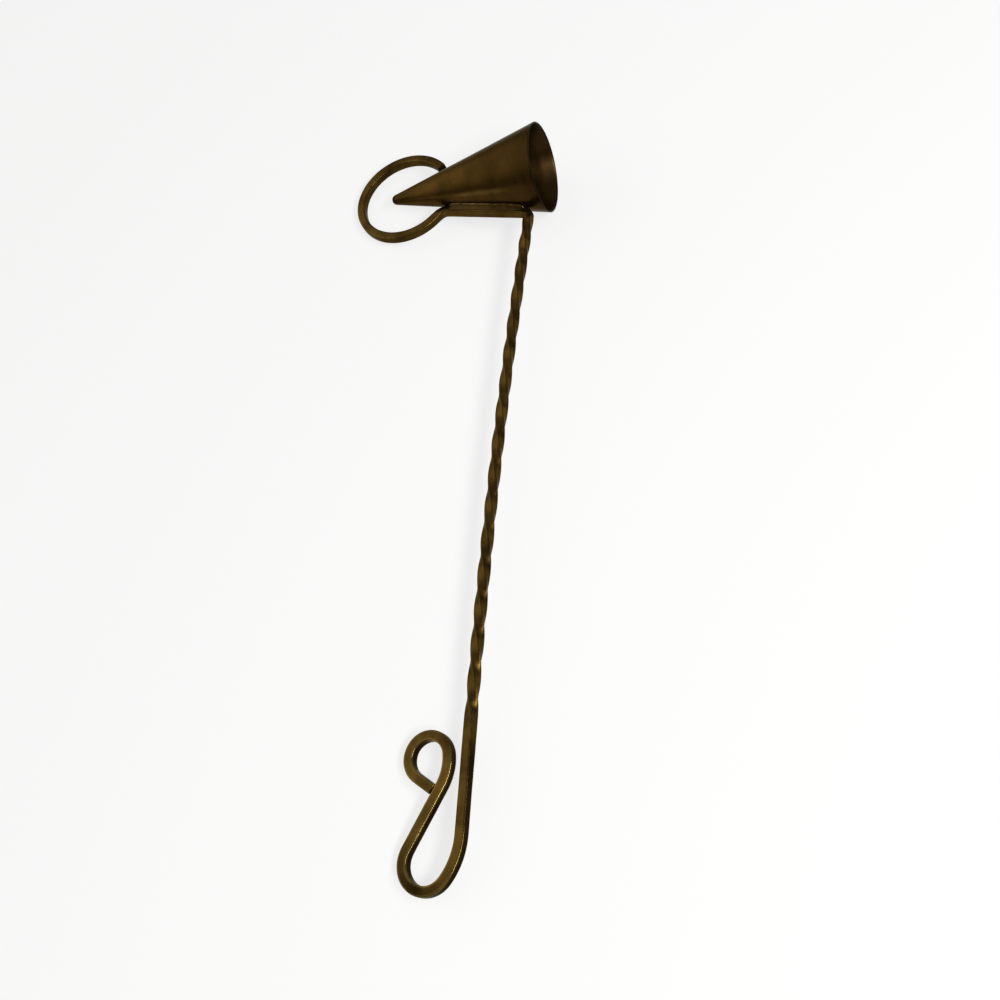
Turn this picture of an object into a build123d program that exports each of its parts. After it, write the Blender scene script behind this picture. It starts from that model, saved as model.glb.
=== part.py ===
from build123d import *
from math import cos, radians, sin, tan
import os

# Candle snuffer, lying on a table with its handle towards the viewer
# Lengths are in millimetres and angles in degrees

# Square bar stock, one length bent into the ring, saddle, stem and handle
bar_width = 3.2
bar_edge_radius = 0.32

# Twisted stem, counted down from the corner where it meets the saddle
stem_length = 214.0
stem_tail = 29.0
stem_bow_turn = 4.1
twist_start = 4.0
twist_end = 184.0
twist_quarters = 16
twist_tail_turn = 15.6
twist_section_turn = 11.0

# Saddle bar under the cone and ring around the cone's tip
corner_radius = 1.95
corner_turn = 81.44
tip_reach = 30.2
ring_bend_radius = 4.0
ring_bend_turn = 58.6
ring_lead = 2.5
ring_radius = 18.0
ring_least_turn = 200.0
ring_turn = 277.0
ring_end_gap = 0.25

# Handle loop and hanging eye, in a plane turned about the stem
handle_turn = 7.1
handle_lead = 3.5
loop_wide_radius = 21.1
loop_wide_turn = 36.9
loop_tight_radius = 7.7
loop_tight_turn = 170.8
limb_length = 20.3
eye_wide_radius = 15.1
eye_wide_turn = 37.0
eye_radius = 6.4
eye_turn = 228.9
eye_end_gap = 0.3

# Sheet cone, leaning on the saddle's upper front edge
cone_half_angle = 13.53
cone_side = 68.8
cone_overhang = 5.8
cone_lean = 8.7
sheet = 0.9
rim_radius = 0.2
tip_radius = 1.9
tip_plug_depth = 1.5
joint_gap = 0.04

# Solder between the saddle and the cone
solder_back_inset = 0.25
solder_front_height = 0.75
solder_front_reach = 0.95
solder_end_inset = 1.2

# Steps of the searches for the ring's end and the resting pose
search_rounds = 40
rest_rounds = 30
rest_tolerance = 0.02

half_bar = bar_width / 2
quarter_turn = 90.0
half_turn = 180.0


def heading_vector(heading):
    """Unit vector in the bar's plane, counted anticlockwise from the X axis."""
    return Vector(cos(radians(heading)), sin(radians(heading)), 0)


class Pen:
    """Draws a bar's centre line in the XY plane as straight runs and tangent bends."""

    def __init__(self, point, heading):
        self.point = Vector(*point)
        self.heading = heading
        self.edges = []

    def run(self, length):
        end = self.point + heading_vector(self.heading) * length
        self.edges.append(Line(self.point, end).edge())
        self.point = end

    def bend(self, radius, turn):
        side = quarter_turn if turn > 0 else -quarter_turn
        centre = self.point + heading_vector(self.heading + side) * radius
        middle = centre + heading_vector(self.heading + turn / 2 - side) * radius
        end = centre + heading_vector(self.heading + turn - side) * radius
        self.edges.append(ThreePointArc(self.point, middle, end).edge())
        self.point = end
        self.heading += turn

    def cut(self):
        """Hands over the edges drawn so far as one path and starts a new one."""
        path = Wire(self.edges)
        self.edges = []
        return path


def section(origin, along, across):
    """Rounded square of the bar stock, square to the direction along."""
    plane = Plane(origin=origin, x_dir=across, z_dir=along)
    return plane * RectangleRounded(bar_width, bar_width, bar_edge_radius)


def bar(path):
    """Square bar along a path that lies in the XY plane."""
    along = path.tangent_at(0)
    face = section(path.position_at(0), along, along.cross(Vector(0, 0, 1)))
    return sweep(face, path=path).solid()


# Stem centre line, from the handle joint at the origin up to the corner
bow_length = stem_length - stem_tail
bow_radius = bow_length / radians(stem_bow_turn)
top_heading = quarter_turn - stem_bow_turn
saddle_heading = top_heading + corner_turn
corner_reach = corner_radius * tan(radians(corner_turn / 2))
saddle_length = cone_side - cone_overhang - tip_reach


def stem_point(down):
    """Centre and heading of the stem at a distance down from the corner."""
    height = stem_length - down
    if height <= stem_tail:
        return Vector(0, height, 0), quarter_turn
    turned = (height - stem_tail) / bow_radius
    side = bow_radius * (1 - cos(turned))
    rise = stem_tail + bow_radius * sin(turned)
    return Vector(side, rise, 0), quarter_turn - stem_bow_turn * (height - stem_tail) / bow_length


def stem_twist(down):
    """Angle of the bar's front face, even along the twist and easing out in the tail."""
    whole = twist_quarters * quarter_turn - handle_turn
    main = whole - twist_tail_turn
    if down <= twist_start:
        return 0.0
    if down <= twist_end:
        return main * (down - twist_start) / (twist_end - twist_start)
    left_share = (stem_length - down) / (stem_length - twist_end)
    return main + twist_tail_turn * (1 - left_share ** 2)


def twisted_stem():
    """Loft through bar sections that follow the bow and turn with the twist."""
    count = round(twist_quarters * quarter_turn / twist_section_turn)
    start = corner_reach
    steps = [start + (stem_length - start) * k / count for k in range(count + 1)]
    wires = []
    for down in steps:
        centre, heading = stem_point(down)
        along = heading_vector(heading)
        right = heading_vector(heading - quarter_turn)
        angle = radians(stem_twist(down))
        across = right * cos(angle) - Vector(0, 0, 1) * sin(angle)
        wires.append(section(centre, along, across).face().outer_wire())
    return Solid.make_loft(wires)


stem = twisted_stem()

# Corner and saddle
corner_point = stem_point(0)[0]
stem_top = corner_point - heading_vector(top_heading) * corner_reach
upper = Pen(stem_top, top_heading)
upper.bend(corner_radius, corner_turn)
upper.run(saddle_length - corner_reach)
saddle = bar(upper.cut())

# Cone, touching the rounded upper front edge of the saddle along one side line
outward = heading_vector(saddle_heading + half_turn)
lift = heading_vector(saddle_heading - quarter_turn)
front = Vector(0, 0, 1)
lean = lift * cos(radians(cone_lean)) + front * sin(radians(cone_lean))
edge_centre = (lift + front) * (half_bar - bar_edge_radius)
touch = corner_point + edge_centre + lean * (bar_edge_radius + joint_gap)
half_angle = radians(cone_half_angle)
cone_axis = outward * cos(half_angle) + lean * sin(half_angle)
apex = touch + outward * (cone_overhang - cone_side)
cone_length = cone_side * cos(half_angle)
mouth_radius = cone_side * sin(half_angle)
cone_plane = Plane(origin=apex, x_dir=lean - cone_axis * lean.dot(cone_axis), z_dir=cone_axis)


def revolved(*points):
    """Turns an outline, given as distance along the axis and radius, about the cone's axis."""
    outline = make_face(Polyline(*[(r, 0, z) for z, r in points], close=True))
    return cone_plane.location * revolve(outline, Axis.Z)


def cone_radius(along, inset):
    return along * tan(half_angle) - inset / cos(half_angle)


tip_cut = tip_radius * cos(half_angle) ** 2 / sin(half_angle)
shell = revolved(
    (tip_cut, cone_radius(tip_cut, sheet)),
    (tip_cut, cone_radius(tip_cut, 0)),
    (cone_length, mouth_radius),
    (cone_length, cone_radius(cone_length, sheet)),
)
mouth_edges = [e for e in shell.edges().filter_by(GeomType.CIRCLE) if e.radius > mouth_radius / 2]
cone = fillet(mouth_edges, rim_radius).solid()

# Solder bead that closes the cone's tip
bead_centre = tip_radius / sin(half_angle)
bead = cone_plane.location * (Pos(0, 0, bead_centre) * Sphere(tip_radius))
bead_keep = revolved((0, 0), (0, tip_radius), (tip_cut, tip_radius), (tip_cut, 0))
plug_end = tip_cut + tip_plug_depth
plug = revolved(
    (tip_cut, 0),
    (tip_cut, cone_radius(tip_cut, sheet)),
    (plug_end, cone_radius(plug_end, sheet)),
    (plug_end, 0),
)
tip_bead = ((bead & bead_keep) + plug).solid()


def cone_clearance(point):
    """Distance from a point to the cone's outer surface, below zero inside it."""
    offset = point - apex
    along = offset.dot(cone_axis)
    across = (offset - cone_axis * along).length
    return across * cos(half_angle) - along * sin(half_angle)


# Ring, bent around the tip and stopped short where its square end would meet the cone
upper.bend(ring_bend_radius, ring_bend_turn)
upper.run(ring_lead)
ring_start = upper.heading
ring_centre = upper.point + heading_vector(ring_start - quarter_turn) * ring_radius


def end_clearance(turn):
    """Least distance from the corners of the ring's end to the cone."""
    spoke = heading_vector(ring_start + quarter_turn - turn)
    corners = [
        ring_centre + spoke * (ring_radius + i * half_bar) + front * (j * half_bar)
        for i in (-1, 1)
        for j in (-1, 1)
    ]
    return min(cone_clearance(c) for c in corners)


clear_turn = ring_least_turn
blocked_turn = ring_turn
for _ in range(search_rounds):
    middle_turn = (clear_turn + blocked_turn) / 2
    if end_clearance(middle_turn) > ring_end_gap:
        clear_turn = middle_turn
    else:
        blocked_turn = middle_turn
upper.bend(ring_radius, -clear_turn)
ring = bar(upper.cut())

# Handle loop and eye, drawn in the XY plane and turned about the stem's end
lower = Pen((0, 0), -quarter_turn)
lower.run(handle_lead)
lower.bend(loop_wide_radius, -loop_wide_turn)
lower.bend(loop_tight_radius, -loop_tight_turn)
limb_start = lower.point
limb_side = heading_vector(lower.heading + quarter_turn)
lower.run(limb_length)
loop = bar(lower.cut())
lower.bend(eye_wide_radius, eye_wide_turn)
lower.bend(eye_radius, eye_turn)

# The eye's end runs straight until its nearer corner is a small gap from the limb
end_along = heading_vector(lower.heading)
end_across = heading_vector(lower.heading + quarter_turn)
near_side = abs(limb_side.dot(end_across)) * half_bar
limb_distance = (lower.point - limb_start).dot(limb_side) - half_bar - eye_end_gap - near_side
lower.run(limb_distance / -limb_side.dot(end_along))
eye = bar(lower.cut())
handle_place = Rot(0, -handle_turn, 0)
loop = handle_place * loop
eye = handle_place * eye

# Solder, filling the wedge behind the touching line and a bead in front of it
saddle_plane = Plane(origin=corner_point + lift * half_bar, x_dir=front, z_dir=-outward)
cone_body = revolved((0, 0), (cone_length, mouth_radius), (cone_length, 0))


def solder_run(*outline):
    """Prism along the saddle, cut back from the cone and the bar."""
    face = make_face(Polyline(*outline, close=True))
    prism = extrude(face, saddle_length - corner_reach - 2 * solder_end_inset)
    start = Pos(0, 0, corner_reach + solder_end_inset)
    run = saddle_plane.location * start * prism
    return (run - cone_body - saddle).solids().sort_by(SortBy.VOLUME)[-1]


solder_back = solder_run(
    (half_bar - bar_edge_radius, 0),
    (half_bar - bar_edge_radius, half_bar),
    (solder_back_inset - half_bar - bar_edge_radius, half_bar),
    (solder_back_inset - half_bar, 0),
)
solder_front = solder_run(
    (half_bar - bar_edge_radius, -bar_edge_radius),
    (half_bar, -solder_front_height),
    (half_bar + solder_front_reach, bar_edge_radius),
    (half_bar - bar_edge_radius, bar_edge_radius),
)

pieces = {
    "snuffer_cone": cone,
    "cone_tip_bead": tip_bead,
    "tip_ring": ring,
    "saddle_bar": saddle,
    "saddle_solder_front": solder_front,
    "saddle_solder_back": solder_back,
    "twisted_stem": stem,
    "handle_loop": loop,
    "hanging_eye": eye,
}

# Resting pose: the table is the plane under the cone's rim, the ring and the handle
def outline_points(*names):
    return [p for name in names for p in pieces[name].tessellate(rest_tolerance)[0]]


rim_points = [p for p in outline_points("snuffer_cone") if (p - apex).length > cone_length]
feet = [rim_points, outline_points("tip_ring"), outline_points("handle_loop", "hanging_eye")]
down = Vector(0, 0, -1)
for _ in range(rest_rounds):
    contacts = [max(points, key=lambda p: p.dot(down)) for points in feet]
    normal = (contacts[1] - contacts[0]).cross(contacts[2] - contacts[0]).normalized()
    down = normal if normal.dot(down) > 0 else -normal
table_y = (Vector(0, 1, 0) - down * down.Y).normalized()
table = Plane(origin=contacts[0], x_dir=down.cross(table_y), z_dir=-down)
placed = {name: table.location.inverse() * shape for name, shape in pieces.items()}
boxes = [shape.bounding_box() for shape in placed.values()]
middle_x = (min(b.min.X for b in boxes) + max(b.max.X for b in boxes)) / 2
middle_y = (min(b.min.Y for b in boxes) + max(b.max.Y for b in boxes)) / 2
centre = Pos(-middle_x, -middle_y, -min(b.min.Z for b in boxes))
placed = {name: centre * shape for name, shape in placed.items()}

os.makedirs("parts", exist_ok=True)
for name, shape in placed.items():
    export_step(shape, f"parts/{name}.step")
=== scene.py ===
import math

import bpy
import numpy as np
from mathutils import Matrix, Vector


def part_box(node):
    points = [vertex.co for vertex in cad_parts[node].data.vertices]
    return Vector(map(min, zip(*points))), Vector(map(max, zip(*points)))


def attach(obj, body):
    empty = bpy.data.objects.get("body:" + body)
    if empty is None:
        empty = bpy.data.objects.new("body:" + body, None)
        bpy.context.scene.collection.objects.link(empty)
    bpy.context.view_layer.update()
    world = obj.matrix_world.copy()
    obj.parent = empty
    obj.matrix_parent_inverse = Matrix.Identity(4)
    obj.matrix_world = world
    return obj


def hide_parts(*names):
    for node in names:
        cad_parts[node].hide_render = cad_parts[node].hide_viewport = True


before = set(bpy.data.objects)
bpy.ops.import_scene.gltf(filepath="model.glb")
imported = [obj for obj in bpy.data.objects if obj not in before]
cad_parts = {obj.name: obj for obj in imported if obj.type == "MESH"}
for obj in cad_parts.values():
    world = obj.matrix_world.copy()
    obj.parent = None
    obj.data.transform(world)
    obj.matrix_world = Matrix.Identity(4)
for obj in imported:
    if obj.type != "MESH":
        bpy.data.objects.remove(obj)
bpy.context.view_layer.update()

# Shapes are worked out in millimetres in the bar's own plane, then laid on the table in metres
MM = 0.001
QUARTER_TURN = 90.0
HALF_TURN = 180.0
FULL_TURN = 360.0

# Square bar stock, with softer edges on the ring
BAR = 3.2
BAR_SQUARENESS = 7.5
RING_SQUARENESS = 6.0
BAR_UNEVEN = 0.012
BAR_UNEVEN_PERIODS = (17.0, 29.0, 7.3)
BAR_UNEVEN_PHASE = 1.3
BEND_SWELL = 0.34
BEND_EASE = 1.5
CUT_BEVEL = 0.22

# Fineness of the bar's mesh, with rows crowded in bends and points crowded at the section's corners
BAR_SPACING = 0.4
BAR_TURN_SPACING = 3.0
BAR_CORNER_POINTS = 12
CORNER_CROWDING = 1.5
ROW_TOLERANCE = 1e-6

# Stem, from the handle up to the corner under the cone
STEM_LENGTH = 214.0
STEM_TAIL = 29.0
STEM_BOW_TURN = 4.1
TWIST_START = 4.0
TWIST_END = 184.0
TWIST_QUARTERS = 16
TWIST_TAIL_TURN = 15.6
TWIST_LAG_TURN = 12.0
TWIST_LAG_AT = 8.0

# Saddle and ring
CORNER_RADIUS = 1.95
CORNER_TURN = 81.44
SADDLE_LENGTH = 32.8
SADDLE_ROLL = 18.0
SADDLE_EASE = 2.5
RING_BEND_RADIUS = 4.0
RING_BEND_TURN = 58.6
RING_LEAD = 2.5
RING_RADIUS = 18.0
RING_TURN = 277.0

# Handle loop and eye
HANDLE_TURN = 7.1
HANDLE_LEAD = 3.5
LOOP_WIDE_RADIUS = 21.1
LOOP_WIDE_TURN = 36.9
LOOP_TIGHT_RADIUS = 7.7
LOOP_TIGHT_TURN = 170.8
LIMB_LENGTH = 20.3
EYE_WIDE_RADIUS = 15.1
EYE_WIDE_TURN = 37.0
EYE_RADIUS = 6.65
EYE_TURN = 228.9
EYE_END_RUN = 6.9

# Wear of the bar's edges: hands and cloths reach the handle most, then the ring and the upper stem
HANDLE_WEAR = 1.2
RUN_WEAR = 0.25
LOW_STEM_WEAR = 0.15
LOW_STEM_REACH = 40.0
STEM_WEAR = 0.4
RING_WEAR = 0.55
EDGE_FOCUS = 1.6

# Darkening: painted shade on the side faces of the handle and ring, tarnish where they reach less on the loop
# and low stem, and a fixed darker share on the saddle
SIDE_SHARPNESS = 6
RING_SIDE_SHADE = 0.4
LOOP_TARNISH = 0.8
LOOP_TARNISH_REACH = 11.0
LOW_STEM_TARNISH = 0.26
SADDLE_DARKENING = 0.12
TARNISH_AND_SHADE_EASE = 12.0

# Sheet cone, dressed thinner at its rim, and the bead that closes its tip
CONE_HALF_ANGLE = 13.53
CONE_SIDE = 68.8
CONE_OVERHANG = 5.8
CONE_LEAN = 8.7
BAR_EDGE_RADIUS = 0.32
JOINT_GAP = 0.04
SHEET = 0.9
RIM_RADIUS = 0.2
RIM_SHEET = 0.5
RIM_DRESS = 5.0
TIP_RADIUS = 1.9
CONE_ROWS = 110
CONE_COLUMNS = 180
RIM_ROWS = 9
BEAD_ROWS = 18
BEAD_COLUMNS = 48
BEAD_CAP_TURN = 3.0

# Unevenness of the hand-rolled cone: waves round it that also turn along it, one turn in 2 pi runs
CONE_UNEVEN = 0.035
CONE_DENTS = (
    {"round": 2, "share": 1.0, "run": math.inf, "phase": 0.6 + math.pi / 2},
    {"round": 5, "share": 0.6, "run": 6.5, "phase": 0.0},
    {"round": 3, "share": 0.5, "run": -4.1, "phase": 0.0},
)

# Wear and tarnish of the cone, and a painted reflection: a light strip of bare-brass colour on its lower
# front, and dark rim, mouth, tip and sooted inside
RIM_REACH = 0.6
RIM_WEAR = 0.05
SHEEN_STRIP_SHARE = 0.62
SHEEN_STRIP_TURN = 146.0
SHEEN_STRIP_WIDTH = 9.0
SHEEN_STRIP_AT = 44.0
SHEEN_STRIP_REACH = 15.0
SHEEN_STRIP_END_POWER = 4
TIP_TARNISH = 0.35
TIP_TARNISH_REACH = 7.0
INNER_TARNISH = 0.6
MOUTH_TARNISH = 0.6
MOUTH_TARNISH_POWER = 2
SOOT_SHARE = 0.15

# Solder along the saddle: flowed over its top to a bead against the cone, and a fillet behind
SOLDER_END_INSET = 0.4
SOLDER_END_POWER = 10
SOLDER_START = -0.6
SOLDER_RISE = 0.2
SOLDER_BEAD = 0.4
SOLDER_BEAD_AT = 1.08
SOLDER_BEAD_STEP = 0.05
SOLDER_CREST_RISE = 0.35
SOLDER_CREST_WEAR = 0.7
SOLDER_TOP = 1.05
SOLDER_BACK_INSET = 0.3
SOLDER_BACK_REACH = 0.35
SOLDER_SINK = 0.06
SOLDER_UNEVEN = 0.08
SOLDER_UNEVEN_PERIODS = (9.0, 5.3, 3.1)
SOLDER_FRONT_PHASE = 0.7
SOLDER_BACK_PHASE = 2.1
SOLDER_ROWS = 120
SOLDER_COLUMNS = 40

# How the snuffer lies on its rim, ring and handle
SIDE_TILT = -8.056
LENGTH_TILT = 0.904


def turned(axis, degrees):
    """Rotation matrix about one axis, 0 for X and 1 for Y."""
    c, s = math.cos(math.radians(degrees)), math.sin(math.radians(degrees))
    if axis == 0:
        return np.array([[1, 0, 0], [0, c, -s], [0, s, c]])
    return np.array([[c, 0, s], [0, 1, 0], [-s, 0, c]])


LIE = turned(0, LENGTH_TILT) @ turned(1, SIDE_TILT)
HANDLE = turned(1, -HANDLE_TURN)
FRONT = np.array([0.0, 0.0, 1.0])


def heading_vector(degrees):
    """Unit vectors in the bar's plane, counted anticlockwise from the X axis."""
    a = np.radians(np.asarray(degrees, float))
    return np.stack([np.cos(a), np.sin(a), np.zeros_like(a)], axis=-1)


def trace(heading, steps):
    """Centre line of a bent bar from the origin. Each step is a length and the turn along it: a point at
    distance s along a step lies on the chord that leaves at half the turn made so far, and the chord is s
    times the sinc of that half turn. Returns points, headings, distances and the distance at which each step
    ends."""
    point = np.zeros(3)
    gone = 0.0
    rows = []
    ends = []
    for length, turn in steps:
        count = max(2, math.ceil(length / BAR_SPACING), math.ceil(abs(turn) / BAR_TURN_SPACING))
        s = np.linspace(0, length, count + 1)
        made = turn * s / length
        points = point + (s * np.sinc(made / FULL_TURN))[:, None] * heading_vector(heading + made / 2)
        rows.append((points[:-1], (heading + made)[:-1], (gone + s)[:-1]))
        point, heading, gone = points[-1], heading + turn, gone + length
        ends.append(gone)
    rows.append((point[None], np.array([heading]), np.array([gone])))
    return [np.concatenate(column) for column in zip(*rows)] + [ends]


def arc(radius, turn):
    """A bend as a step: its length along the centre line, and its turn."""
    return radius * math.radians(abs(turn)), turn


def waves(distance, periods, phase):
    """Sum of sine waves of the given periods, between about -1 and 1, for hand-made unevenness."""
    total = sum(np.sin(2 * math.pi * distance / p + phase * (k + 1)) for k, p in enumerate(periods))
    return total / len(periods)


# Bar, traced from the handle joint up to the ring's end and down to the eye's end
corner_reach = CORNER_RADIUS * math.tan(math.radians(CORNER_TURN / 2))
bow_length = STEM_LENGTH - STEM_TAIL
up_points, up_headings, up_along, up_ends = trace(QUARTER_TURN, [
    (STEM_TAIL, 0),
    (bow_length - corner_reach, -STEM_BOW_TURN),
    arc(CORNER_RADIUS, CORNER_TURN),
    (SADDLE_LENGTH - corner_reach, 0),
    arc(RING_BEND_RADIUS, RING_BEND_TURN),
    (RING_LEAD, 0),
    arc(RING_RADIUS, -RING_TURN),
])
down_points, down_headings, down_along, down_ends = trace(-QUARTER_TURN, [
    (HANDLE_LEAD, 0),
    arc(LOOP_WIDE_RADIUS, -LOOP_WIDE_TURN),
    arc(LOOP_TIGHT_RADIUS, -LOOP_TIGHT_TURN),
    (LIMB_LENGTH, 0),
    arc(EYE_WIDE_RADIUS, EYE_WIDE_TURN),
    arc(EYE_RADIUS, EYE_TURN),
    (EYE_END_RUN, 0),
])
_, stem_top, saddle_start, saddle_end, ring_start, _, ring_end = up_ends
_, loop_start, loop_end, limb_end, _, _, eye_end = (-end for end in down_ends)
bar_along = np.concatenate([-down_along[:0:-1], up_along])
bar_points = np.concatenate([down_points[:0:-1] @ HANDLE.T, up_points])
bar_headings = np.concatenate([down_headings[:0:-1] + HALF_TURN, up_headings])
handle_rows = (bar_along < 0)[:, None]
bar_right = heading_vector(bar_headings - QUARTER_TURN)
bar_right = np.where(handle_rows, bar_right @ HANDLE.T, bar_right)
bar_front = np.where(handle_rows, HANDLE @ FRONT, FRONT)
bar_ahead = np.cross(bar_front, bar_right)


def on_saddle(along):
    """Share of the saddle's roll: 1 along the saddle, eased by a tanh to 0 at the corner and at the ring."""
    from_stem = np.tanh((along - saddle_start) / SADDLE_EASE)
    from_ring = np.tanh((ring_start - along) / SADDLE_EASE)
    return np.clip(from_stem, 0, 1) * np.clip(from_ring, 0, 1)


def section_turn(along):
    """Angle of the bar's section in degrees. Along the stem it is an even twist that lags a little in its
    first turn and eases out above the handle, and the saddle is rolled back by a fixed angle."""
    down = STEM_LENGTH - along
    main = TWIST_QUARTERS * QUARTER_TURN - HANDLE_TURN - TWIST_TAIL_TURN
    even = main * np.clip((down - TWIST_START) / (TWIST_END - TWIST_START), 0, 1)
    left = np.clip((STEM_LENGTH - down) / (STEM_LENGTH - TWIST_END), 0, 1)
    lag = TWIST_LAG_TURN * np.exp(-((down - TWIST_LAG_AT) / TWIST_LAG_AT) ** 2) * (down > 0)
    twist = np.where(along < 0, 0, even - lag + TWIST_TAIL_TURN * (1 - left ** 2))
    return twist + SADDLE_ROLL * on_saddle(along)


def bend_at(along):
    """Curvature of the centre line, averaged over a short stretch so that a bend eases in and out."""
    after = np.interp(along + BEND_EASE, bar_along, bar_headings)
    before = np.interp(along - BEND_EASE, bar_along, bar_headings)
    return np.radians(after - before) / (2 * BEND_EASE)


def bar_section(squareness):
    """Square with soft corners for each row: the radius at angle a is the half width divided by the p-norm of
    cos a and sin a, where p is the row's squareness, with more points near the corners. Also gives how near
    each point is to a corner, and 1 on the two side faces against 0 on the front and back."""
    t = np.linspace(-1, 1, BAR_CORNER_POINTS, endpoint=False)
    quarter = QUARTER_TURN / 2 * (1 + np.sign(t) * np.abs(t) ** CORNER_CROWDING)
    a = -np.radians((quarter[None] + QUARTER_TURN * np.arange(4)[:, None]).ravel())
    norm = (np.abs(np.cos(a)) ** squareness + np.abs(np.sin(a)) ** squareness) ** (1 / squareness)
    radius = BAR / 2 / norm
    nearness = ((radius - BAR / 2) / (radius.max(axis=1, keepdims=True) - BAR / 2)) ** EDGE_FOCUS
    # Painted shade: 1 on the two side faces, which get a darker colour in place of shade
    tarnish_and_shade = 1 / (1 + np.abs(np.tan(a)) ** SIDE_SHARPNESS)
    return radius * np.cos(a), radius * np.sin(a), nearness, tarnish_and_shade


def carry_bar():
    """Carries the bar's section along its centre line. The section turns by the twist angle, swells on the
    inside of a bend and thins on the outside, and wavers a little in width. Returns the grid of points, the
    place of each point in the straight bar before it was bent, its edge wear, and how darkened it is: tarnish
    on the loop and low stem, a fixed share on the saddle, and painted shade on the side faces of the handle
    and ring."""
    squareness = np.interp(bar_along, [saddle_end, ring_start], [BAR_SQUARENESS, RING_SQUARENESS])
    x, y, nearness, tarnish_and_shade = bar_section(squareness[:, None])
    angle = np.radians(section_turn(bar_along))[:, None]
    x_turned = np.cos(angle) * x + np.sin(angle) * y
    y_turned = np.cos(angle) * y - np.sin(angle) * x
    y_turned = y_turned * (1 - BEND_SWELL * bend_at(bar_along)[:, None] * x_turned)
    uneven = 1 + BAR_UNEVEN * waves(bar_along, BAR_UNEVEN_PERIODS, BAR_UNEVEN_PHASE)[:, None, None]
    offset = x_turned[..., None] * bar_right[:, None] + y_turned[..., None] * bar_front[:, None]
    grid = bar_points[:, None] + offset * uneven
    stock = np.stack(np.broadcast_arrays(x, y, bar_along[:, None]), axis=-1)
    twist_end = STEM_LENGTH - TWIST_END
    twist_low = twist_end + LOW_STEM_REACH
    run_end = twist_end - TARNISH_AND_SHADE_EASE
    wear = np.interp(bar_along, [loop_start, 0, twist_end, twist_low, saddle_end, ring_start],
                     [HANDLE_WEAR, RUN_WEAR, LOW_STEM_WEAR, STEM_WEAR, STEM_WEAR, RING_WEAR])
    # Painted shade on the side faces: full on the handle, part on the ring, none on the stem and saddle
    side_shade = np.interp(bar_along, [run_end, twist_end, saddle_end, ring_start], [1, 0, 0, RING_SIDE_SHADE])
    # Tarnish on the low stem and the loop, and a fixed darker share along the saddle
    tarnish = np.interp(bar_along, [run_end, twist_end, stem_top, saddle_start],
                        [0, LOW_STEM_TARNISH, 0, SADDLE_DARKENING])
    from_loop = (bar_along - (loop_start + loop_end) / 2) / LOOP_TARNISH_REACH
    tarnish = np.maximum(tarnish, LOOP_TARNISH * np.exp(-from_loop ** 2))
    return grid, stock, nearness * wear[:, None], np.maximum(tarnish_and_shade * side_shade[:, None], tarnish[:, None])


def bevel_end(grid, end, ahead):
    """Bevels a cut end: the end row is drawn in towards its middle, and a full row is added just behind
    it."""
    middle = grid[end].mean(0)
    drawn = middle + (grid[end] - middle) * (1 - 2 * CUT_BEVEL / BAR)
    full = grid[end] - ahead * CUT_BEVEL
    if end == 0:
        return np.concatenate([drawn[None], full[None], grid[1:]])
    return np.concatenate([grid[:-1], full[None], drawn[None]])


def laid(points):
    """Points of the bar's plane in metres on the table: tilted as the snuffer lies, then moved to the frame's
    stem."""
    return (np.asarray(points) @ LIE.T + place) * MM


def skin(name, grid, attributes, capped):
    """Mesh of a grid that closes on itself across each row. A capped grid gets a flat fan at its first and
    last row, with sharp edges there so that the fan doesn't shade the sides, and one that isn't capped closes
    on itself along its length too. The attributes hold a number or a vector for each point of the grid."""
    rows, columns = grid.shape[:2]
    index = np.arange(rows * columns).reshape(rows, columns)
    low = index[:-1] if capped else index
    high = index[1:] if capped else np.roll(index, -1, axis=0)
    quads = np.stack([low, np.roll(low, -1, 1), np.roll(high, -1, 1), high], axis=-1).reshape(-1, 4)
    points = grid.reshape(-1, 3)
    faces = quads.tolist()
    if capped:
        first, last = len(points), len(points) + 1
        points = np.concatenate([points, grid[0].mean(0)[None], grid[-1].mean(0)[None]])
        around = np.roll(index, -1, 1)
        faces += np.stack([around[0], index[0], np.full(columns, first)], axis=-1).tolist()
        faces += np.stack([index[-1], around[-1], np.full(columns, last)], axis=-1).tolist()
    mesh = bpy.data.meshes.new(name)
    mesh.from_pydata(laid(points).tolist(), [], faces)
    smooth = np.ones(len(faces), bool)
    smooth[len(quads):] = False
    mesh.polygons.foreach_set("use_smooth", smooth)
    if capped:
        pairs = np.empty(len(mesh.edges) * 2, np.int32)
        mesh.edges.foreach_get("vertices", pairs)
        row_of_edge = pairs.reshape(-1, 2) // columns
        end_ring = (row_of_edge == 0).all(1) | (row_of_edge == rows - 1).all(1)
        mesh.edges.foreach_set("use_edge_sharp", end_ring)
    for label, values in attributes.items():
        flat = np.asarray(values, np.float32).reshape(rows, columns, -1)
        ends = [flat[0].mean(0)[None], flat[-1].mean(0)[None]] if capped else []
        flat = np.concatenate([flat.reshape(rows * columns, -1)] + ends)
        kind, field = ("FLOAT_VECTOR", "vector") if flat.shape[1] == 3 else ("FLOAT", "value")
        mesh.attributes.new(label, kind, "POINT").data.foreach_set(field, flat.ravel())
    piece = bpy.data.objects.new(name, mesh)
    bpy.context.scene.collection.objects.link(piece)
    return piece


bar_grid, bar_stock, bar_edge, bar_tarnish_and_shade = carry_bar()
stretches = {
    "hanging_eye": (eye_end, limb_end),
    "handle_loop": (limb_end, 0.0),
    "twisted_stem": (0.0, stem_top),
    "saddle_bar": (stem_top, saddle_end),
    "tip_ring": (saddle_end, ring_end),
}


def rows_between(start, end):
    """Slice of the bar's rows from one distance to another, both included."""
    first = np.searchsorted(bar_along, start - ROW_TOLERANCE)
    return slice(first, np.searchsorted(bar_along, end + ROW_TOLERANCE))


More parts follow.
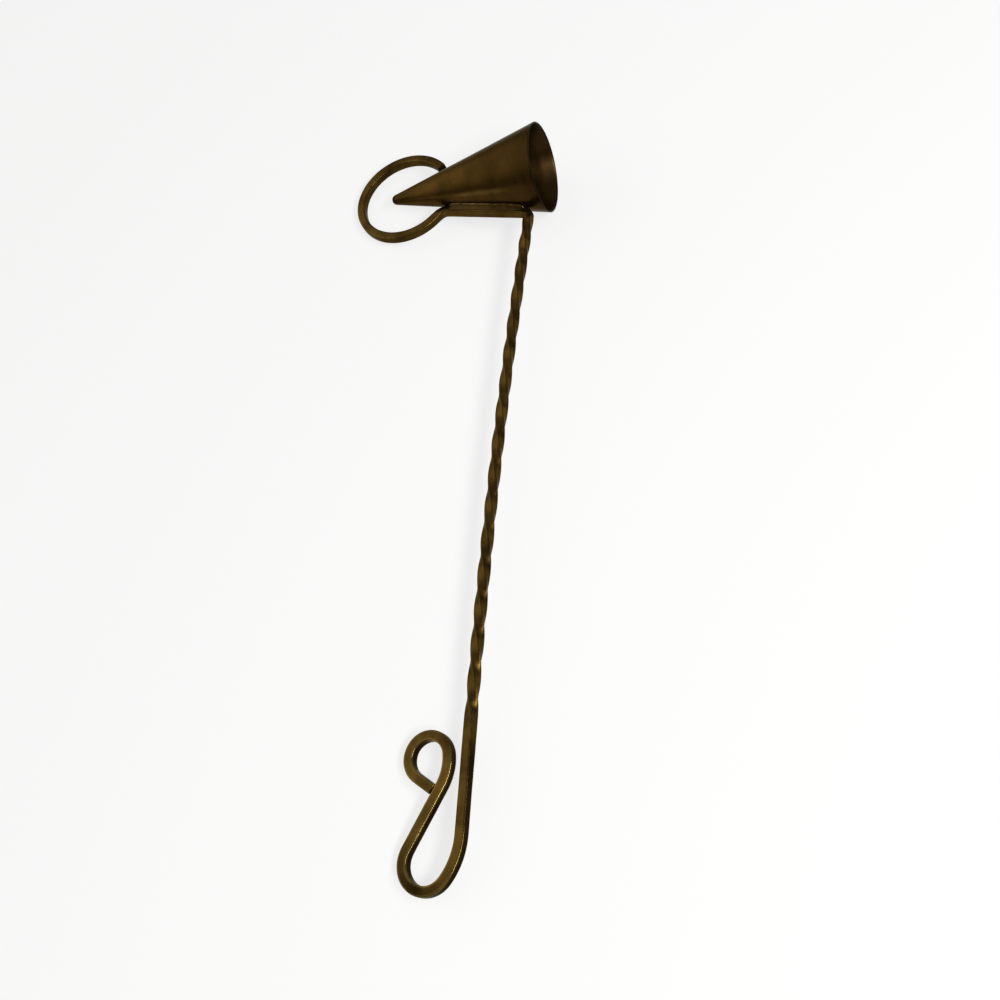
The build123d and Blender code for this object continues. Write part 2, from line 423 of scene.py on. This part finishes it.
# The frame's stem gives the place: the middle of its box is the middle of the box of the same stem here
lying = bar_grid[rows_between(0.0, stem_top)].reshape(-1, 3) @ LIE.T
low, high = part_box("twisted_stem")
place = (np.array(low) + np.array(high)) / 2 / MM - (lying.min(0) + lying.max(0)) / 2

# Cone
half_angle = math.radians(CONE_HALF_ANGLE)
saddle_heading = QUARTER_TURN - STEM_BOW_TURN + CORNER_TURN
bow_chord = bow_length * np.sinc(STEM_BOW_TURN / FULL_TURN) * heading_vector(QUARTER_TURN - STEM_BOW_TURN / 2)
corner = STEM_TAIL * heading_vector(QUARTER_TURN) + bow_chord
outward = heading_vector(saddle_heading + HALF_TURN)
lift_way = heading_vector(saddle_heading - QUARTER_TURN)
lean_turn = math.radians(CONE_LEAN)
lean = lift_way * math.cos(lean_turn) + FRONT * math.sin(lean_turn)
touch = corner + (lift_way + FRONT) * (BAR / 2 - BAR_EDGE_RADIUS) + lean * (BAR_EDGE_RADIUS + JOINT_GAP)
cone_axis = outward * math.cos(half_angle) + lean * math.sin(half_angle)
apex = touch + outward * (CONE_OVERHANG - CONE_SIDE)
cone_up = lean - cone_axis * lean.dot(cone_axis)
cone_up /= np.linalg.norm(cone_up)
cone_across = np.cross(cone_axis, cone_up)
cone_length = CONE_SIDE * math.cos(half_angle)
tip_cut = TIP_RADIUS * math.cos(half_angle) ** 2 / math.sin(half_angle)


def cone_radius(along, inset):
    """Radius of the cone at a distance along its axis, less the part of the sheet's wall."""
    return along * math.tan(half_angle) - inset / math.cos(half_angle)


def around_cone(profile, columns):
    """Surface of revolution: each profile point, given as distance along the axis and radius, goes round the
    cone's axis, and the radius wavers by a sum of sine waves that grow from the apex to the mouth."""
    a = np.linspace(0, 2 * math.pi, columns, endpoint=False)
    along, radius = profile[:, :1], profile[:, 1:]
    ease = np.clip(along / cone_length, 0, 1)
    dents = sum(d["share"] * np.sin(d["round"] * a + along / d["run"] + d["phase"]) for d in CONE_DENTS)
    radius = radius + CONE_UNEVEN * dents * ease
    ring = np.cos(a)[:, None] * cone_up + np.sin(a)[:, None] * cone_across
    return apex + along[..., None] * cone_axis + radius[..., None] * ring


wall = np.linspace(tip_cut, cone_length - RIM_RADIUS, CONE_ROWS)
rim_turn = np.linspace(math.pi / 2, -math.pi / 2, RIM_ROWS)
rim = np.stack([
    cone_length - RIM_RADIUS * (1 - np.cos(rim_turn)),
    cone_radius(cone_length, RIM_SHEET / 2) + RIM_SHEET / math.cos(half_angle) / 2 * np.sin(rim_turn),
], axis=-1)
inner_wall = np.interp(wall, [cone_length - RIM_DRESS, cone_length], [SHEET, RIM_SHEET])
cone_profile = np.concatenate([
    np.stack([wall, cone_radius(wall, 0)], axis=-1),
    rim[1:-1],
    np.stack([wall, cone_radius(wall, inner_wall)], axis=-1)[::-1],
])
cone_grid = around_cone(cone_profile, CONE_COLUMNS)
inner_share = np.concatenate([np.zeros(CONE_ROWS), np.linspace(0, 1, RIM_ROWS - 2), np.ones(CONE_ROWS)])
cone_soot = SOOT_SHARE * np.repeat(inner_share[:, None], CONE_COLUMNS, 1)
rim_share = np.exp(-((cone_profile[:, :1] - cone_length) / RIM_REACH) ** 2)
round_turn = np.linspace(0, FULL_TURN, CONE_COLUMNS, endpoint=False)
# Painted reflection: a strip of lighter bare-brass colour along the cone's lower front, standing in for a
# reflected light band
sheen_round = np.exp(-((round_turn - SHEEN_STRIP_TURN) / SHEEN_STRIP_WIDTH) ** 2)
from_sheen = (cone_profile[:, :1] - SHEEN_STRIP_AT) / SHEEN_STRIP_REACH
sheen_along = np.exp(-from_sheen ** SHEEN_STRIP_END_POWER) * (1 - inner_share[:, None])
cone_wear_and_sheen = np.maximum(RIM_WEAR * rim_share, SHEEN_STRIP_SHARE * sheen_round * sheen_along)
mouth_share = (cone_profile[:, :1] / cone_length) ** MOUTH_TARNISH_POWER
tip_share = np.exp(-((cone_profile[:, :1] - tip_cut) / TIP_TARNISH_REACH) ** 2)
outer_tarnish = (MOUTH_TARNISH * mouth_share + TIP_TARNISH * tip_share) * (1 - inner_share[:, None])
wall_tarnish = outer_tarnish + INNER_TARNISH * inner_share[:, None]
cone_shelter = np.repeat(np.maximum(wall_tarnish, rim_share), CONE_COLUMNS, 1)


def rolled_sheet(profile, columns):
    """Place of each point in the sheet before it was rolled: the side length from the apex, and the girth
    from the angle round the axis times the mean radius, with the cut edges meeting on the saddle."""
    a = np.linspace(0, 2 * math.pi, columns, endpoint=False)
    girth = np.where(a > math.pi, a - 2 * math.pi, a) * cone_radius(cone_length, 0) / 2
    side = np.hypot(profile[:, :1], profile[:, 1:])
    flat = np.stack(np.broadcast_arrays(side, girth, side * 0), axis=-1)
    return flat + inner_share[:, None, None] * np.array([0.0, 0.0, SHEET])


bead_centre = TIP_RADIUS / math.sin(half_angle)
bead_turn = np.linspace(math.radians(BEAD_CAP_TURN), math.pi / 2 - half_angle, BEAD_ROWS)
bead_along = bead_centre - TIP_RADIUS * np.cos(bead_turn)
bead_profile = np.stack([bead_along, TIP_RADIUS * np.sin(bead_turn)], axis=-1)
bead_grid = around_cone(bead_profile, BEAD_COLUMNS)


# Solder between the saddle and the cone, in the section across the saddle
solder_first = corner_reach + SOLDER_END_INSET
solder_last = SADDLE_LENGTH - SOLDER_END_INSET
solder_down = np.linspace(solder_first, solder_last, SOLDER_ROWS)[:, None]
solder_share = np.linspace(-1, 1, SOLDER_ROWS)[:, None]
solder_fade = np.sqrt(1 - solder_share ** SOLDER_END_POWER)
solder_roll = np.radians(SADDLE_ROLL * on_saddle(saddle_start + solder_down - corner_reach))


def cone_lift(front):
    """Height of the cone over the bar's middle, across the saddle. There the cone is a circle that rests on
    the bar's upper front edge, with a radius of the distance from the apex times the tangent of the half
    angle."""
    radius = (CONE_SIDE - CONE_OVERHANG - solder_down) * math.tan(half_angle)
    seat = BAR / 2 - BAR_EDGE_RADIUS
    reach = BAR_EDGE_RADIUS + JOINT_GAP + radius
    middle_front = seat + reach * math.sin(lean_turn)
    middle_lift = seat + reach * math.cos(lean_turn)
    return middle_lift - np.sqrt(radius ** 2 - (front - middle_front) ** 2)


def solder_grid(front, lift):
    """Carries a section, given by its front and lift at each place, along the saddle."""
    return corner - solder_down[..., None] * outward + front[..., None] * FRONT + lift[..., None] * lift_way


def solder_size(phase):
    """Share of the full section along the saddle: it fades at both ends and wavers in between."""
    return solder_fade * (1 + SOLDER_UNEVEN * waves(solder_down, SOLDER_UNEVEN_PERIODS, phase))


def flowed_solder():
    """Solder over the saddle's rolled top: a straight rise from the front edge, then a tanh step up to a bead
    with a steeper rise, all measured from the top face and scaled by the size along the saddle. Also gives
    the wear, which is on the bead alone."""
    half = BAR / 2
    size = solder_size(SOLDER_FRONT_PHASE)
    t = np.linspace(0, 1, SOLDER_COLUMNS)[None]
    lift = SOLDER_START + (cone_lift(half + SOLDER_TOP) + SOLDER_SINK - SOLDER_START) * t
    face = (half - lift * np.sin(solder_roll)) / np.cos(solder_roll) - SOLDER_SINK
    edge = (half - SOLDER_START * np.sin(solder_roll)) / np.cos(solder_roll) - SOLDER_SINK
    step = (1 + np.tanh((lift - SOLDER_BEAD_AT) / SOLDER_BEAD_STEP)) / 2
    crest = SOLDER_BEAD * step + SOLDER_CREST_RISE * np.maximum(lift - SOLDER_BEAD_AT, 0)
    full = edge + SOLDER_RISE * (lift - SOLDER_START) + crest
    front = face + size * (full - face)
    root = np.full_like(solder_down, half - BAR_EDGE_RADIUS)
    grid = solder_grid(np.concatenate([front, root], axis=1), np.concatenate([lift, root], axis=1))
    return grid, np.concatenate([SOLDER_CREST_WEAR * step, root * 0], axis=1)


def back_fillet():
    """Concave fillet behind the touching line: a quadratic curve from the bar's top to the cone, with no
    wear."""
    half = BAR / 2
    size = solder_size(SOLDER_BACK_PHASE)
    t = np.linspace(0, 1, SOLDER_COLUMNS)[None]
    start_front, start_lift = -half + SOLDER_BACK_INSET, half - SOLDER_SINK
    end_front = -half - SOLDER_BACK_REACH * size
    end_lift = cone_lift(end_front) + SOLDER_SINK
    middle_front = -half + SOLDER_BACK_INSET + SOLDER_BACK_REACH * size
    middle_lift = (start_lift + cone_lift(middle_front)) / 2
    front = (1 - t) ** 2 * start_front + 2 * t * (1 - t) * middle_front + t ** 2 * end_front
    lift = (1 - t) ** 2 * start_lift + 2 * t * (1 - t) * middle_lift + t ** 2 * end_lift
    root_front = np.full_like(solder_down, half - BAR_EDGE_RADIUS)
    root_lift = np.full_like(solder_down, half + JOINT_GAP)
    grid = solder_grid(np.concatenate([front, root_front], axis=1)[:, ::-1],
                       np.concatenate([lift, root_lift], axis=1)[:, ::-1])
    return grid, np.zeros(grid.shape[:2])


def linear(colour):
    """Linear colour, with alpha, of an sRGB hex value."""
    parts = [int(colour[i:i + 2], 16) / 255 for i in (1, 3, 5)]
    return [p / 12.92 if p <= 0.04045 else ((p + 0.055) / 1.055) ** 2.4 for p in parts] + [1.0]


def add(tree, kind, settings=(), links=()):
    """Adds a node: settings go to its properties or to the inputs of that name, and links join outputs to
    inputs."""
    made = tree.nodes.new(kind)
    for key, value in dict(settings).items():
        if isinstance(key, str) and hasattr(made, key):
            setattr(made, key, value)
        else:
            made.inputs[key].default_value = value
    for key, socket in dict(links).items():
        tree.links.new(socket, made.inputs[key])
    return made


# Pattern sizes in metres: stains as broad as a fingertip, a mottle of about 2 mm and streaks under 1 mm
STAIN_SIZE = 11 * MM
MOTTLE_SIZE = 2.2 * MM
STREAK_WIDTH = 0.7 * MM
STREAK_HEIGHT = 0.5
BUMP_HEIGHT = 0.0015 * MM
STREAK_SQUEEZE = 0.06
STAIN_NOISE = {"Scale": 1 / STAIN_SIZE, "Detail": 3.0, "Roughness": 0.55}
MOTTLE_NOISE = {"Scale": 1 / MOTTLE_SIZE, "Detail": 4.0, "Roughness": 0.6}
STREAK_NOISE = {"Scale": 1 / STREAK_WIDTH, "Detail": 2.0}
TONE_SPREAD = {"From Min": 0.3, "From Max": 0.7}
ROUGH_SPREAD = {"From Min": 0.35, "From Max": 0.65}
WEAR_AND_SHEEN_SPREAD = {"From Min": 0.2, "From Max": 0.7}

# Brass under its film of age: a mostly metallic base, darker where tarnished and where shade is painted, and
# barer on worn edges and on a painted reflection strip
EDGE_TINT = "#c6c2b8"
METAL_SHARE = 0.92
FILM_GLOSS = 0.15
TARNISH_AND_SHADE_SHARE = 0.16
BARE_BRASS_AND_SHEEN = "#8c7640"
SOOT = "#332619"
WEAR_AND_SHEEN_MOST = 0.5
POLISHED_SHARE = 0.4
SOOT_MATT = 0.08

# Sockets of a colour mix
MIX_SHARE, MIX_FROM, MIX_TO, MIX_RESULT = 0, 6, 7, 2


def aged_brass(name, colours, roughness, streak_squeeze, variation):
    """Brass under a brown film of age. Broad stains follow handling, a finer mottle breaks them up, and faint
    streaks lie along the metal as it was drawn or rolled. The edge attribute thins the film to bare brass and
    polishes it, which is wear on the bar and solder and also a painted reflection strip on the cone. The
    attribute of tarnish and painted shade darkens it, and the soot attribute covers it with a dull
    brown-black."""
    made = bpy.data.materials.new(name)
    made.use_nodes = True
    tree = made.node_tree
    shader = tree.nodes["Principled BSDF"]
    shader.inputs["Specular IOR Level"].default_value = FILM_GLOSS
    shader.inputs["Specular Tint"].default_value = linear(EDGE_TINT)
    stock = add(tree, "ShaderNodeAttribute", {"attribute_name": "stock"}).outputs["Vector"]
    edge = add(tree, "ShaderNodeAttribute", {"attribute_name": "edge"}).outputs["Fac"]
    soot = add(tree, "ShaderNodeAttribute", {"attribute_name": "soot"}).outputs["Fac"]
    tarnish_and_shade = add(tree, "ShaderNodeAttribute", {"attribute_name": "tarnish_and_shade"}).outputs["Fac"]
    stain = add(tree, "ShaderNodeTexNoise", STAIN_NOISE, {"Vector": stock}).outputs["Fac"]
    mottle = add(tree, "ShaderNodeTexNoise", MOTTLE_NOISE, {"Vector": stock}).outputs["Fac"]
    squeezed = add(tree, "ShaderNodeMapping", {"Scale": streak_squeeze}, {"Vector": stock}).outputs["Vector"]
    streak = add(tree, "ShaderNodeTexNoise", STREAK_NOISE, {"Vector": squeezed}).outputs["Fac"]
    film = add(tree, "ShaderNodeValToRGB", {}, {"Fac": stain})
    ramp = film.color_ramp
    ramp.elements[0].position, ramp.elements[0].color = colours[0][0], linear(colours[0][1])
    ramp.elements[1].position, ramp.elements[1].color = colours[-1][0], linear(colours[-1][1])
    for position, colour in colours[1:-1]:
        ramp.elements.new(position).color = linear(colour)
    depth = add(tree, "ShaderNodeMapRange",
                {**TONE_SPREAD, "To Min": 1 - variation, "To Max": 1 + variation},
                {"Value": mottle}).outputs["Result"]
    grain = add(tree, "ShaderNodeMapRange",
                {**TONE_SPREAD, "To Min": 1 - variation / 2, "To Max": 1 + variation / 2},
                {"Value": streak}).outputs["Result"]
    # Darker colour for tarnish, and painted shade on the bar's side faces and cut ends
    tarnished_and_shaded = add(tree, "ShaderNodeMapRange", {"To Min": 1.0, "To Max": TARNISH_AND_SHADE_SHARE},
                    {"Value": tarnish_and_shade}).outputs["Result"]
    shade = add(tree, "ShaderNodeMath", {"operation": "MULTIPLY"}, {0: depth, 1: grain}).outputs["Value"]
    shade = add(tree, "ShaderNodeMath", {"operation": "MULTIPLY"}, {0: shade, 1: tarnished_and_shaded}).outputs["Value"]
    toned = add(tree, "ShaderNodeVectorMath", {"operation": "SCALE"},
                {0: film.outputs["Color"], "Scale": shade}).outputs["Vector"]
    # Bare brass on worn edges, and on the cone a painted reflection strip
    wear_and_sheen = add(tree, "ShaderNodeMath", {"operation": "MULTIPLY"}, {0: edge, 1: stain}).outputs["Value"]
    wear_and_sheen = add(tree, "ShaderNodeMapRange", {**WEAR_AND_SHEEN_SPREAD, "To Max": WEAR_AND_SHEEN_MOST},
                 {"Value": wear_and_sheen}).outputs["Result"]
    worn_and_sheen = add(tree, "ShaderNodeMix", {"data_type": "RGBA", MIX_TO: linear(BARE_BRASS_AND_SHEEN)},
               {MIX_SHARE: wear_and_sheen, MIX_FROM: toned}).outputs[MIX_RESULT]
    colour = add(tree, "ShaderNodeMix", {"data_type": "RGBA", MIX_TO: linear(SOOT)},
                 {MIX_SHARE: soot, MIX_FROM: worn_and_sheen}).outputs[MIX_RESULT]
    rough = add(tree, "ShaderNodeMapRange",
                {**ROUGH_SPREAD, "To Min": roughness[0], "To Max": roughness[1]},
                {"Value": mottle}).outputs["Result"]
    polished = add(tree, "ShaderNodeMapRange", {"To Min": 1.0, "To Max": POLISHED_SHARE},
                   {"Value": edge}).outputs["Result"]
    rough = add(tree, "ShaderNodeMath", {"operation": "MULTIPLY"}, {0: rough, 1: polished}).outputs["Value"]
    rough = add(tree, "ShaderNodeMath", {"operation": "MULTIPLY_ADD", 1: SOOT_MATT},
                {0: soot, 2: rough}).outputs["Value"]
    height = add(tree, "ShaderNodeMath", {"operation": "MULTIPLY_ADD", 1: STREAK_HEIGHT},
                 {0: streak, 2: mottle}).outputs["Value"]
    bump = add(tree, "ShaderNodeBump", {"Strength": 1.0, "Distance": BUMP_HEIGHT}, {"Height": height})
    metal = add(tree, "ShaderNodeMapRange", {"To Min": METAL_SHARE, "To Max": 0.0},
                {"Value": soot}).outputs["Result"]
    tree.links.new(metal, shader.inputs["Metallic"])
    tree.links.new(colour, shader.inputs["Base Color"])
    tree.links.new(rough, shader.inputs["Roughness"])
    tree.links.new(bump.outputs["Normal"], shader.inputs["Normal"])
    return made


# Drawn bar, bent cold and browned by age: a dark olive-brown sheen with faint streaks along the bar
along_bar = (1, 1, STREAK_SQUEEZE)
bar_film = ((0.3, "#30230c"), (0.45, "#423112"), (0.58, "#4e3b17"), (0.72, "#543914"))
bar_brass = aged_brass("cold_bent_bar_brass_browned", bar_film, (0.26, 0.36), along_bar, 0.15)

# Rolled sheet, browned by age: smoother and evener than the bar, with faint streaks from mouth to tip
along_side = (STREAK_SQUEEZE, 1, 1)
sheet_film = ((0.3, "#36260b"), (0.45, "#3f2d0f"), (0.58, "#473213"), (0.72, "#4c3313"))
sheet_brass = aged_brass("rolled_sheet_brass_browned", sheet_film, (0.26, 0.34), along_side, 0.06)

# Hard solder as it ran and froze: a duller brown with no grain, nearly black where a flame scorched it
no_grain = (1, 1, 1)
solder_film = ((0.3, "#36280f"), (0.5, "#403016"), (0.7, "#4a391f"))
solder_metal = aged_brass("hard_solder_browned", solder_film, (0.28, 0.38), no_grain, 0.15)
scorched_film = ((0.3, "#1c140a"), (0.5, "#271d0d"), (0.7, "#30240f"))
scorched_metal = aged_brass("hard_solder_scorched", scorched_film, (0.34, 0.44), no_grain, 0.15)


def dress(piece, node, material):
    """Puts a finished piece in the place of a frame node."""
    piece.data.materials.append(material)
    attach(piece, "root")
    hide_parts(node)


def bevelled(grids, end, ahead):
    """The same grids with one more row at a cut end, where the end row is drawn in for a small bevel. The
    last grid, the darkening, is full on the cut face: painted shade, as on the side faces."""
    longer = [np.concatenate([rows[:1], rows] if end == 0 else [rows, rows[-1:]]) for rows in grids[1:]]
    # Painted shade: the cut face is darkened in full, like a side face
    longer[-1][end] = 1
    return [bevel_end(grids[0], end, ahead)] + longer


for node_name, (start, end) in stretches.items():
    rows = rows_between(start, end)
    grids = [bar_grid[rows], bar_stock[rows], bar_edge[rows], bar_tarnish_and_shade[rows]]
    if node_name == "hanging_eye":
        grids = bevelled(grids, 0, -bar_ahead[rows][0])
    if node_name == "tip_ring":
        grids = bevelled(grids, -1, bar_ahead[rows][-1])
    grid, stock, edge, tarnish_and_shade = grids
    piece = skin("bent_" + node_name, grid, {"stock": stock * MM, "edge": edge, "tarnish_and_shade": tarnish_and_shade}, True)
    dress(piece, node_name, bar_brass)

cone_sheet = rolled_sheet(cone_profile, CONE_COLUMNS)
cone = skin("rolled_cone", cone_grid, {"soot": cone_soot, "stock": cone_sheet * MM, "edge": cone_wear_and_sheen,
                                       "tarnish_and_shade": cone_shelter}, False)
dress(cone, "snuffer_cone", sheet_brass)
bead = skin("tip_bead", bead_grid, {"stock": bead_grid * MM}, True)
dress(bead, "cone_tip_bead", scorched_metal)
solder_runs = {"saddle_solder_front": flowed_solder(), "saddle_solder_back": back_fillet()}
for node_name, (grid, wear) in solder_runs.items():
    run = skin("hard_" + node_name, grid, {"stock": grid * MM, "edge": wear}, True)
    dress(run, node_name, solder_metal)

# Floor of matt paper, which looks white to the camera and in reflections and still takes the snuffer's shadow
WHITE = "#ffffff"
FLOOR_HALF = 1.5
FLOOR_PAPER = "#c8c8c6"
FLOOR_ROUGHNESS = 0.9
FLOOR_WHITE_SHARE = 0.75
corners = [(-FLOOR_HALF, -FLOOR_HALF, 0), (FLOOR_HALF, -FLOOR_HALF, 0),
           (FLOOR_HALF, FLOOR_HALF, 0), (-FLOOR_HALF, FLOOR_HALF, 0)]
floor_mesh = bpy.data.meshes.new("floor")
floor_mesh.from_pydata(corners, [], [(0, 1, 2, 3)])
floor = bpy.data.objects.new("floor", floor_mesh)
bpy.context.scene.collection.objects.link(floor)
paper = bpy.data.materials.new("matt_white_paper")
paper.use_nodes = True
paper_tree = paper.node_tree
paper_shader = paper_tree.nodes["Principled BSDF"]
paper_shader.inputs["Base Color"].default_value = linear(FLOOR_PAPER)
paper_shader.inputs["Roughness"].default_value = FLOOR_ROUGHNESS
ray = add(paper_tree, "ShaderNodeLightPath").outputs
seen = add(paper_tree, "ShaderNodeMath", {"operation": "MAXIMUM"},
           {0: ray["Is Camera Ray"], 1: ray["Is Glossy Ray"]})
seen = add(paper_tree, "ShaderNodeMath", {"operation": "MAXIMUM"},
           {0: seen.outputs["Value"], 1: ray["Is Transmission Ray"]})
share = add(paper_tree, "ShaderNodeMath", {"operation": "MULTIPLY", 1: FLOOR_WHITE_SHARE},
            {0: seen.outputs["Value"]})
white = add(paper_tree, "ShaderNodeEmission", {"Color": linear(WHITE)})
mixed = add(paper_tree, "ShaderNodeMixShader", {},
            {0: share.outputs["Value"], 1: paper_shader.outputs["BSDF"], 2: white.outputs["Emission"]})
paper_tree.links.new(mixed.outputs["Shader"], paper_tree.nodes["Material Output"].inputs["Surface"])
floor_mesh.materials.append(paper)

# Soft light: a dim dome with a broad bright field at the left, and small ones above the front and the back
DOME_LEVEL = 0.26
DOME_FIELDS = (
    {"level": 1.3, "towards": (-0.853, 0.201, 0.482), "edge": 0.55},
    {"level": 0.6, "towards": (0.3, -0.501, 0.812), "edge": 0.8},
    {"level": 0.35, "towards": (0.12, 0.55, 0.827), "edge": 0.88},
)
world = bpy.data.worlds.new("soft_dome")
bpy.context.scene.world = world
world.use_nodes = True
dome_tree = world.node_tree
sky = dome_tree.nodes["Background"].inputs
sky["Color"].default_value = linear(WHITE)
way = add(dome_tree, "ShaderNodeTexCoord").outputs["Generated"]
level = add(dome_tree, "ShaderNodeValue").outputs["Value"]
level.default_value = DOME_LEVEL
for field in DOME_FIELDS:
    nearness = add(dome_tree, "ShaderNodeVectorMath", {"operation": "DOT_PRODUCT", 1: field["towards"]},
                   {0: way})
    bright = add(dome_tree, "ShaderNodeMapRange",
                 {"interpolation_type": "SMOOTHSTEP", "From Min": field["edge"], "To Max": field["level"]},
                 {"Value": nearness.outputs["Value"]})
    level = add(dome_tree, "ShaderNodeMath", {"operation": "ADD"},
                {0: level, 1: bright.outputs["Result"]}).outputs["Value"]
dome_tree.links.new(level, sky["Strength"])

# A lamp with a soft edge from the right, for the bright lines on the worn edges
RIGHT_BOX_AT = (0.513, -0.239, 0.566)
RIGHT_BOX_SIZE = (0.6, 0.16)
RIGHT_BOX_POWER = 7.5


def soft_box(name, spot, size, power):
    """Rectangular lamp that faces the middle of the snuffer."""
    data = bpy.data.lights.new(name, "AREA")
    data.shape = "RECTANGLE"
    data.size, data.size_y = size
    data.energy = power
    lamp = bpy.data.objects.new(name, data)
    lamp.location = spot
    lamp.rotation_euler = (-Vector(spot)).to_track_quat("-Z", "Y").to_euler()
    bpy.context.scene.collection.objects.link(lamp)


soft_box("right_soft_box", RIGHT_BOX_AT, RIGHT_BOX_SIZE, RIGHT_BOX_POWER)

# Camera at the photograph's place
IMAGE_WIDTH = 1000
CAMERA_FOCUS = 1150.28
CAMERA_AT = (0.104549, -0.172782, 0.330049)
CAMERA_TURN = (26.5104, 11.382, 4.2331)
CAMERA_NEAR = 0.01
camera_data = bpy.data.cameras.new("camera")
camera_data.lens = CAMERA_FOCUS / IMAGE_WIDTH * camera_data.sensor_width
camera_data.clip_start = CAMERA_NEAR
camera = bpy.data.objects.new("camera", camera_data)
bpy.context.scene.collection.objects.link(camera)
bpy.context.scene.camera = camera
camera.location = CAMERA_AT
camera.rotation_euler = [math.radians(turn) for turn in CAMERA_TURN]

bpy.context.scene.view_settings.view_transform = "Standard"
